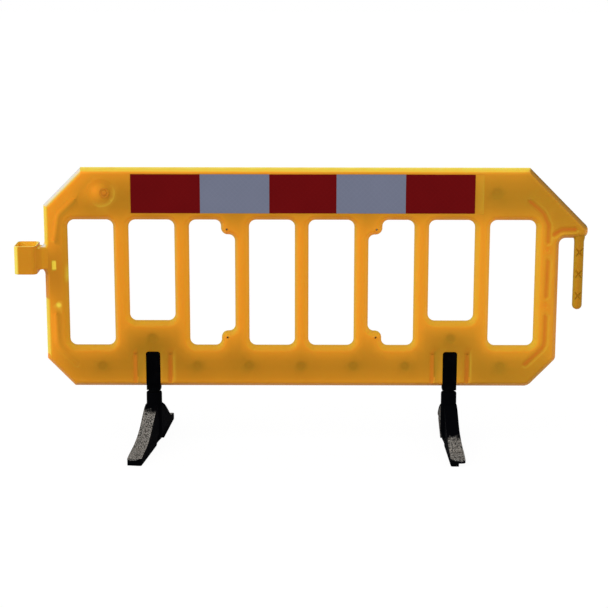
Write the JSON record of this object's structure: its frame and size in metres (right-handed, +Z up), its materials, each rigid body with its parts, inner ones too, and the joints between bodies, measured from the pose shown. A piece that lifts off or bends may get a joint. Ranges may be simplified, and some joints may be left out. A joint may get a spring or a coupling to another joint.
{
  "type": "pedestrian barrier panel",
  "caption": "Hollow moulded pedestrian barrier panel with windows, reflective sheets on its top rail, a link eye and a drop pin at its ends, and rubber feet that swivel under it.",
  "frame": {"origin": "on the ground at the middle of the part's box, under the parting plane of the panel", "axes": "+X along the panel from the link eye to the drop pin, +Z up, and the front face looks towards -Y"},
  "size_m": [2.071, 0.6094, 1.027],
  "materials": {
    "panel_plastic": "satin",
    "red_sheeting": "reflective sheet",
    "white_sheeting": "reflective sheet",
    "black_plastic": "matt",
    "foot_rubber": "dusty",
    "zinc_steel": "zinc plated"
  },
  "bodies": {
    "panel": {"panel_front_shell": "panel_plastic", "panel_rear_shell": "panel_plastic", "link_eye": "panel_plastic", "link_pin": "panel_plastic", "sign_tabs": "panel_plastic", "dish_plug": "panel_plastic", "front_sheet_1": "red_sheeting", "front_sheet_2": "white_sheeting", "front_sheet_3": "red_sheeting", "front_sheet_4": "white_sheeting", "front_sheet_5": "red_sheeting", "rear_sheet_1": "red_sheeting", "rear_sheet_2": "white_sheeting", "rear_sheet_3": "red_sheeting", "rear_sheet_4": "white_sheeting", "rear_sheet_5": "red_sheeting", "left_stem": "black_plastic", "left_thrust_washer": "black_plastic", "left_pivot_bolt": "zinc_steel", "left_lock_nut": "zinc_steel", "left_head_washer": "zinc_steel", "right_stem": "black_plastic", "right_thrust_washer": "black_plastic", "right_pivot_bolt": "zinc_steel", "right_lock_nut": "zinc_steel", "right_head_washer": "zinc_steel"},
    "left_foot": {"left_foot": "foot_rubber"},
    "right_foot": {"right_foot": "foot_rubber"}
  },
  "joints": [
    {"name": "left_foot_swivel", "type": "hinge", "parent": "panel", "child": "left_foot", "pos_m": [-0.54249, 0, 0.1], "axis": [0, 0, 1], "range_deg": [-82, 98]},
    {"name": "right_foot_swivel", "type": "hinge", "parent": "panel", "child": "right_foot", "pos_m": [0.54449, 0, 0.1], "axis": [0, 0, 1], "range_deg": [-91, 89]}
  ]
}
